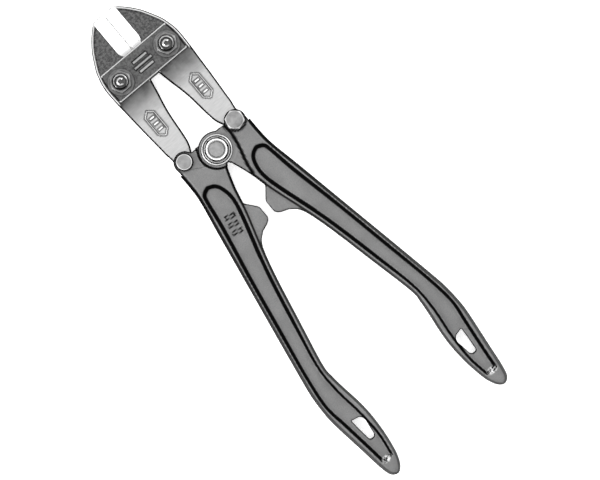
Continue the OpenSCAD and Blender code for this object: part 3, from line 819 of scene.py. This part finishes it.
headX, headY = tool["headBolt"]
points, faces, spots = jawSkin(headX - jaw["openShift"], jaw["openBore"])
makePiece("JawRight", points, faces, jawSteel, "right_jaw", "jaw_right",
          jawMarks(points, faces, spots))
points, faces, spots = jawSkin(headX, jaw["boltBore"])
points = points * np.array([-1.0, 1.0, 1.0])
faces = faces[:, ::-1]
makePiece("JawLeft", points, faces, jawSteel, "left_jaw", "jaw_left",
          jawMarks(points, faces, spots))
print("jaws ready")


plate = {
    "width": 56.4,
    "height": 21.6,
    "thickness": 3.2,
    "chamfer": 0.9,
    "lift": 4.1,  # above the middle plane
    "y": 73.6,
    "bore": 5.15,
    "boreDown": 0.7,  # below the plate's middle
    "bar": (7.0, 0.8),  # half sizes of the middle one of the three raised bars
    "barPitch": 3.6,
    "barLess": 1.5,  # what each end of the other two is shorter
    "gridStep": 0.34,
}


def plateSkin(marked):
    # slab with chamfered rims, two bores, and on the front three raised bars in its middle
    g, step = plate, plate["gridStep"]
    w, h, top = g["width"] / 2, g["height"] / 2, g["thickness"]
    low = np.array([-30.3, -12.2, -0.9])
    x, y, z = gridOver(low, (30.5, 12.4, 4.7), step)
    line = [(-w + 0.6, -h), (w - 0.6, -h), (w, -h + 0.8), (w + 0.3, 0), (w - 0.4, h - 3), (w - 1.6, h),
            (-w + 1.6, h), (-w + 0.4, h - 3), (-w - 0.3, 0), (-w, -h + 0.8)]
    edge = outlineDistance(line, x, y)[:, :, None]
    solid = np.maximum(np.maximum(edge, z - top), -z)
    solid = np.maximum(solid, (edge + z - top + g["chamfer"]) * math.sqrt(0.5))
    solid = np.maximum(solid, (edge - z + 0.3) * math.sqrt(0.5))
    bar = np.full(x.shape, 9.0)
    if marked:
        for i in (-1, 0, 1):
            bar = np.minimum(bar, np.maximum(np.abs(x) - g["bar"][0] + abs(i) * g["barLess"],
                                             np.abs(y - g["barPitch"] * i) - g["bar"][1]))
        raised = np.maximum(np.maximum(bar[:, :, None], z - top - 0.4), 1 - z)
        solid = blended(solid, raised, 0.3)
    bore = np.hypot(np.abs(x) - headX, y + g["boreDown"]) - g["bore"]
    solid = np.maximum(solid, -bore[:, :, None] + 0 * z).astype(np.float32)
    points, faces = levelSkin(solid, low, step)
    i, j, _ = np.round((points - low) / step).astype(int).T
    near = bar[i, j]
    points = settled(points, faces, solid, low, step, 1)
    # a painted highlight on the two long rims only; painted shade on the short ends and the feet of the bars
    up = upward(points, faces)
    lean = peak(up, 1, 0.7, 0.25) * (np.abs(near) > 0.9)
    longRim = np.abs(points[:, 1]) > h - 1.4
    wall = np.maximum(np.clip((0.5 - up) / 0.2, 0, 1), lean * ~longRim)
    foot = peak(near, 1, 0.35, 0.45)
    return points, faces, {"rim": np.maximum(lean * longRim, np.clip(-near, 0, 0.3)),
                           "wall": np.maximum(wall, foot * 0.8)}


points, faces, marks = plateSkin(True)
makePiece("LinkPlateFront", points + (0, plate["y"], plate["lift"]), faces, plateSteel, "head",
          "link_plate_front", marks)
points, faces, marks = plateSkin(False)
makePiece("LinkPlateBack", turnedOver(points) + (0, plate["y"], -plate["lift"]), faces, plateSteel, "head",
          "link_plate_back", marks)
print("link plates ready")


def ringFaces(columns, rows):
    # four-sided faces round a tube whose points run up one column after another
    i, j = np.meshgrid(np.arange(columns), np.arange(rows - 1), indexing="ij")
    k = (i + 1) % columns
    return np.stack([i * rows + j, k * rows + j, k * rows + j + 1, i * rows + j + 1], 2).reshape(-1, 4)


def turnedSurface(profile, columns=96, change=None):
    # profile points (radius, height) carried once round the axis; change(angle, radius, height) may move them
    profile = np.asarray(profile, float)
    rows = len(profile)
    a, k = np.meshgrid(np.arange(columns) / columns * 2 * math.pi, np.arange(rows), indexing="ij")
    r, h = profile[k, 0], profile[k, 1]
    if change:
        r, h = change(a, r, h)
    return np.stack([r * np.cos(a), r * np.sin(a), h], 2).reshape(-1, 3), ringFaces(columns, rows)


def hexSurface(flats, height, bore=0.0, cone=0.58, boreBevel=0.5, topShare=0.95):
    # six-sided section: half the flats over the cosine of the angle from a flat's middle; both ends of its
    # corners are turned off by a cone, so that each flat ends in an arc
    columns = 144
    angle = np.arange(columns) / columns * 2 * math.pi
    side = flats / 2 / np.cos((angle + math.pi / 6) % (math.pi / 3) - math.pi / 6)
    one = np.ones(columns)
    top = flats / 2 * topShare * one
    drop = (side - top) * cone
    rows = [(one * bore, one * 0), (one * (bore + 0.25 if bore else 0.01), one * 0), (top, one * 0),
            (side, drop), (side, drop + 0.01), (side, one * height / 2), (side, height - drop - 0.01),
            (side, height - drop), ((side + top) / 2, height - drop / 2), (top, one * height),
            (top - 0.05, one * height)]
    if bore:
        rows += [(one * (bore + boreBevel), one * height), (one * bore, one * (height - boreBevel)),
                 (one * bore, one * 0)]
    else:
        rows += [(one * 0, one * height)]
    r, h = (np.stack([row[part] for row in rows], 1) for part in (0, 1))
    points = np.stack([r * np.cos(angle)[:, None], r * np.sin(angle)[:, None], h], 2).reshape(-1, 3)
    return points, ringFaces(columns, len(rows))


def threadedShank(radius, start, end, pitch=1.5, columns=72):
    # the crest follows a helix: the radius falls by the thread's depth with the saw of (height / pitch - turn)
    rows = int((end - start) / pitch * 10) + 1
    a, h = np.meshgrid(np.arange(columns) / columns * 2 * math.pi, np.linspace(start, end, rows), indexing="ij")
    phase = (h / pitch - a / (2 * math.pi)) % 1
    fade = np.clip((end - h) / 0.7, 0, 1) * 2 + 1
    depth = 0.55 * np.minimum(np.minimum(np.abs(phase - 0.5) * 2.4, 1), fade)
    r = radius - depth - np.clip(0.7 - (end - h), 0, 0.7)
    points = np.stack([r * np.cos(a), r * np.sin(a), h], 2).reshape(-1, 3)
    return points, ringFaces(columns, rows), r[0, -1]


def turnedBy(points, degrees):
    c, s = math.cos(math.radians(degrees)), math.sin(math.radians(degrees))
    return points @ np.array([[c, s, 0], [-s, c, 0], [0, 0, 1.0]])


def merged(parts):
    points, faces, start = [], [], 0
    for p, f in parts:
        points.append(p)
        faces.append(f + start)
        start += len(p)
    return np.vstack(points), np.vstack(faces)


def makeFastener(name, points, faces, place, material, body, node):
    # points on the axis become one, and a face that lost a side becomes a triangle
    points = points + place
    _, first, same = np.unique(np.round(points / 1e-4).astype(np.int64), axis=0, return_index=True,
                               return_inverse=True)
    faceList = [list(dict.fromkeys(f)) for f in same.reshape(-1)[faces].tolist()]
    makePiece(name, points[first], [f for f in faceList if len(f) > 2], material, body, node, sharp=32)


def shankAndHead(head, headHeight, diameter, shank, end, threaded=True, change=None):
    # plain shank on its head, rolled thread over its last part, then the end's own (radius, height) steps
    r = diameter / 2
    tip = [(radius, shank + height) for radius, height in end]
    foot = [(0, headHeight - 0.2), (r, headHeight - 0.2)]
    if not threaded:
        return merged([head, turnedSurface(foot + [(r, shank)] + tip)])
    plain = turnedSurface(foot + [(r, shank * 0.6), (0, shank * 0.6)])
    thread, threadFaces, lip = threadedShank(r, shank * 0.6 - 0.5, shank)
    return merged([head, plain, (thread, threadFaces), turnedSurface([(lip, shank)] + tip, change=change)])


restDepth = tool["midZ"]  # the heads at the back stand on the resting plane

headSet = {
    "flats": 13.0,
    "diameter": 10.0,
    "plateTop": 7.3,
    "washer": [(5.15, 0), (8.6, 0), (8.9, 0.25), (8.9, 0.9), (8.6, 1.2), (5.3, 1.2), (5.15, 1.05), (5.15, 0)],
    "washerHeight": 1.2,
    "nut": 5.6,
    "nutBore": 5.1,
    "stand": 0.6,  # the bolt's end above its nut
    # recessed end with a staked collar
    "end": [(4.1, 0.3), (3.6, 0.3), (3.3, -0.9), (2.75, -0.92), (2.5, -0.1), (1.5, -0.45), (1.2, -0.92),
            (0.6, -0.92), (0, -0.92)],
    "openAt": -35,  # degrees round the bolt: the middle of the collar's gap
}


def stakedOpen(a, r, h):
    # the staked collar is open over a quarter turn: there its height falls to the recess's floor
    gap = np.abs((a - math.radians(headSet["openAt"]) + math.pi) % (2 * math.pi) - math.pi)
    part = 1 - np.clip((gap - 0.75) / 0.12, 0, 1)
    return r, np.where((r < 2.7) & (r > 1.3), h + (h.min() - h) * part, h)


for side, name in ((-1, "left"), (1, "right")):
    g, at = headSet, np.array([side * headX, headY, 0])
    headHeight = restDepth - g["plateTop"]
    nutTop = g["plateTop"] + g["washerHeight"] + g["nut"]
    points, faces = shankAndHead(hexSurface(g["flats"], headHeight), headHeight, g["diameter"],
                                 restDepth + nutTop + g["stand"], g["end"], change=stakedOpen)
    makeFastener("HeadBolt" + name.capitalize(), points, faces, at - (0, 0, restDepth), blackBolt, "head",
                 "head_bolt_" + name)
    points, faces = turnedSurface(g["washer"])
    makeFastener("HeadWasher" + name.capitalize(), points, faces, at + (0, 0, g["plateTop"]), greyNut, "head",
                 "head_washer_" + name)
    points, faces = hexSurface(g["flats"], g["nut"], g["nutBore"])
    makeFastener("HeadNut" + name.capitalize(), turnedBy(points, 30), faces,
                 at + (0, 0, nutTop - g["nut"]), greyNut, "head", "head_nut_" + name)
print("head bolts ready")

centreSet = {
    "flats": 14.2,
    "diameter": 10.0,
    # ridged washer: a rim whose sloping top takes a painted highlight, a groove in painted shade and a second
    # thin ridge
    "washer": [(5.15, 0), (10.3, 0), (10.3, 0.75), (10.0, 1.15), (9.25, 1.4), (8.85, 0.8), (8.5, 1.25),
               (8.1, 1.4), (5.4, 1.4), (5.15, 1.2), (5.15, 0)],
    "washerHeight": 1.4,
    "nut": 5.6,
    "nutBore": 5.1,
    "nutTurn": 10,
    "end": [(4.65, 0.3), (0, 0.3)],
    "shim": [(5.15, -0.09), (10.3, -0.09), (10.3, 0.09), (5.15, 0.09), (5.15, -0.09)],
}
g, eyeTop = centreSet, forging["eyeTop"]
headHeight = restDepth - eyeTop - g["washerHeight"]
points, faces = shankAndHead(hexSurface(g["flats"], headHeight), headHeight, g["diameter"],
                             restDepth + eyeTop + g["washerHeight"] + g["nut"] + 0.3, g["end"], threaded=False)
makeFastener("CentreBolt", points, faces, (0, 0, -restDepth), pinSteel, "left_handle", "centre_bolt")
points, faces = hexSurface(g["flats"], g["nut"], g["nutBore"], cone=1.7, boreBevel=0.95, topShare=0.97)
makeFastener("CentreNut", turnedBy(points, g["nutTurn"]), faces, (0, 0, eyeTop + g["washerHeight"]), nutZinc,
             "left_handle", "centre_nut")
points, faces = turnedSurface(g["washer"])
makeFastener("CentreWasherFront", points, faces, (0, 0, eyeTop), washerZinc, "left_handle",
             "centre_washer_front")
makeFastener("CentreWasherBack", turnedOver(points), faces, (0, 0, -eyeTop), washerZinc, "left_handle",
             "centre_washer_back")
points, faces = turnedSurface(g["shim"])
makeFastener("CentreShim", points, faces, (0, 0, 0), brass, "left_handle", "centre_shim")
print("centre bolt ready")

forkPin = {
    "flats": 11.4,
    "diameter": 7.0,
    "head": 4.0,
    "headTop": 12.0,  # above the middle plane
    "length": 24.1,
    "turn": (0, 12),  # of the head, on the left and on the right
    "end": [(2.2, 0.0), (1.4, -0.6), (0, -0.7)],
    "nut": 4.5,
    "nutBore": 3.6,
}
# on the left the head is round, with a soft rim
wide, tall = forkPin["flats"] / 2 + 0.2, forkPin["head"]
roundHead = turnedSurface([(0, 0), (wide - 1.3, 0), (wide - 0.8, 0.2), (wide - 0.15, 1.2), (wide, 1.6),
                           (wide, tall - 0.2), (wide - 0.2, tall), (0, tall)])
sixSided = hexSurface(forkPin["flats"], forkPin["head"])
for side, name, head, turn in zip((-1, 1), ("left", "right"), (roundHead, sixSided), forkPin["turn"]):
    g, at = forkPin, np.array([side * tool["pin"][0], tool["pin"][1], 0])
    points, faces = shankAndHead(head, g["head"], g["diameter"], g["length"], g["end"])
    makeFastener("ForkPin" + name.capitalize(), turnedOver(turnedBy(points, turn)), faces,
                 at + (0, 0, g["headTop"]), pinSteel, name + "_handle", "fork_pin_" + name)
    points, faces = hexSurface(g["flats"], g["nut"], g["nutBore"])
    makeFastener("ForkNut" + name.capitalize(), points, faces, at - (0, 0, restDepth), pinSteel,
                 name + "_handle", "fork_nut_" + name)
print("fork pins ready")


studio = {
    "table": "#f6f6f6",
    "tableShade": "#f3f3f3",
    "tableSize": 6,  # metres
    "glow": 0.62,  # the table's own light, so that it shows nearly white
    "world": 0.3,
    "key": 60,  # watts
    "side": 20,
    "lens": 170,
    "viewWidth": 0.3878,  # metres that the picture covers from side to side
    "viewCentre": (0.0035, -0.0187, 0.0125),
    "lean": 40.1,  # degrees that the tool is turned in the picture
}

bpy.ops.mesh.primitive_plane_add(size=studio["tableSize"], location=(0, 0, -0.0002))
floor = bpy.context.object
floor.name = "Floor"
floorMaterial, tree, shader, place = newMaterial("LitOpalTable")
cloud = addNode(tree, "ShaderNodeTexNoise", {"Scale": 30.0, "Detail": 2.0}, {"Vector": place})
tone = coats(tree, studio["table"], [(cloud, 0.3, 0.7, 1.0, studio["tableShade"])])
setNode(tree, shader, {"Metallic": 0.0, "Roughness": 0.8, "Emission Color": (1, 1, 1, 1),
                       "Emission Strength": studio["glow"]}, {"Base Color": tone})
floor.data.materials.append(floorMaterial)

world = bpy.data.worlds.new("Studio")
bpy.context.scene.world = world
world.use_nodes = True
setNode(world.node_tree, world.node_tree.nodes["Background"],
        {"Color": (1, 1, 1, 1), "Strength": studio["world"]})


def softbox(name, place, target, size, power):
    light = bpy.data.lights.new(name, "AREA")
    light.shape = "RECTANGLE"
    light.size = light.size_y = size
    light.energy = power
    lamp = bpy.data.objects.new(name, light)
    bpy.context.collection.objects.link(lamp)
    lamp.location = place
    lamp.rotation_euler = (Vector(target) - Vector(place)).to_track_quat("-Z", "Y").to_euler()


softbox("KeySoftbox", (-0.2, 0.3, 2.6), (0, 0, 0), 2.4, studio["key"])
softbox("SideSoftboxLeft", (-1.4, 0.15, 1.5), (0, 0.15, 0), 0.7, studio["side"])
softbox("SideSoftboxRight", (1.4, 0.15, 1.5), (0, 0.15, 0), 0.7, studio["side"])

# straight down on the tool, turned so that the jaws point to the upper left
lean = math.radians(studio["lean"])
up = Vector((math.sin(lean), math.cos(lean), 0))
right = Vector((up.y, -up.x, 0))
back = Vector((0, 0, 1))
camera = bpy.data.cameras.new("Camera")
camera.lens = studio["lens"]
camera.sensor_width = 36
distance = studio["viewWidth"] * camera.lens / camera.sensor_width
tripod = bpy.data.objects.new("Camera", camera)
bpy.context.collection.objects.link(tripod)
turn = Matrix((right, up, back)).transposed().to_4x4()
tripod.matrix_world = Matrix.Translation(Vector(studio["viewCentre"]) + back * distance) @ turn
bpy.context.scene.camera = tripod
bpy.context.scene.view_settings.view_transform = "Standard"
print("studio ready")
